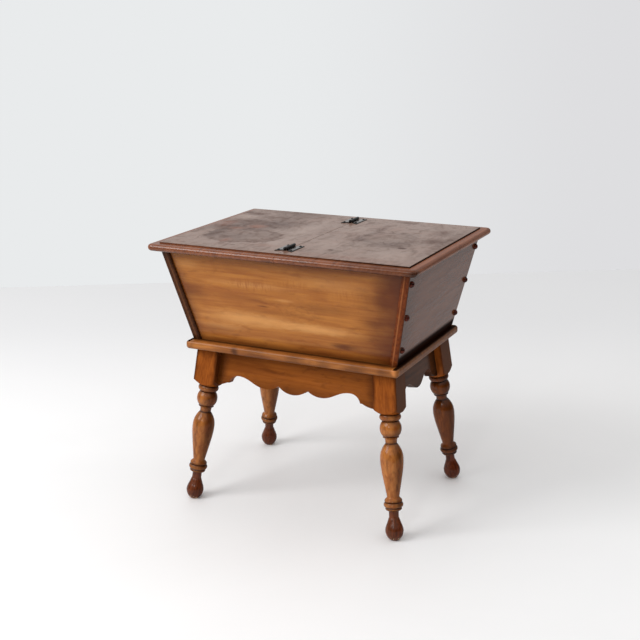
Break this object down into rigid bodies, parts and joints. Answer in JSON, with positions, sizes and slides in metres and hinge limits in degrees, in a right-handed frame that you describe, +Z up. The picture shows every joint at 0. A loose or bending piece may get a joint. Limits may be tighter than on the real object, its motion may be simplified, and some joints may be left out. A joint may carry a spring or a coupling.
{
  "type": "sugar chest",
  "caption": "Dough-box style lidded wooden chest: leaning trough walls on a stand with splayed turned legs and scalloped aprons; half of the lid folds over on butterfly hinges.",
  "frame": {"origin": "on the floor under the middle of the chest", "axes": "+X along the chest towards its opening leaf, +Y to the back, +Z up"},
  "size_m": [0.666, 0.5034, 0.656],
  "materials": {
    "lid_wood": "gloss varnish",
    "case_wood": "satin varnish",
    "base_wood": "satin varnish",
    "stand_wood": "satin varnish",
    "leg_wood": "gloss varnish",
    "inner_wood": "thin stain",
    "button_wood": "dark stain",
    "hinge_iron": "blackened",
    "hinge_screw_iron": "blackened",
    "screw_steel": "plain"
  },
  "bodies": {
    "chest": {"lid_fixed_leaf": "lid_wood", "front_hinge_pin": "hinge_iron", "front_hinge_fixed_plate": "hinge_iron", "front_hinge_fixed_screws": "hinge_screw_iron", "back_hinge_pin": "hinge_iron", "back_hinge_fixed_plate": "hinge_iron", "back_hinge_fixed_screws": "hinge_screw_iron", "left_end_panel": "case_wood", "left_end_screws": "screw_steel", "left_end_buttons": "button_wood", "right_end_panel": "case_wood", "right_end_screws": "screw_steel", "right_end_buttons": "button_wood", "front_panel": "case_wood", "back_panel": "case_wood", "trough_bottom": "inner_wood", "trough_screws": "screw_steel", "front_lid_cleat": "inner_wood", "back_lid_cleat": "inner_wood", "lid_cleat_screws": "screw_steel", "base_board": "base_wood", "leg_screws": "screw_steel", "front_apron": "stand_wood", "back_apron": "stand_wood", "left_apron": "stand_wood", "right_apron": "stand_wood", "front_left_leg": "leg_wood", "front_right_leg": "leg_wood", "back_left_leg": "leg_wood", "back_right_leg": "leg_wood", "front_left_glue_block": "inner_wood", "front_right_glue_block": "inner_wood", "back_left_glue_block": "inner_wood", "back_right_glue_block": "inner_wood", "left_glue_block": "inner_wood", "right_glue_block": "inner_wood", "glue_block_screws": "screw_steel"},
    "opening_leaf": {"lid_opening_leaf": "lid_wood", "front_hinge_moving_plate": "hinge_iron", "front_hinge_moving_screws": "hinge_screw_iron", "back_hinge_moving_plate": "hinge_iron", "back_hinge_moving_screws": "hinge_screw_iron"}
  },
  "joints": [
    {"name": "lid_hinge", "type": "hinge", "parent": "chest", "child": "opening_leaf", "pos_m": [0, 0, 0.6522], "axis": [0, -1, 0], "range_deg": [0, 180]}
  ]
}
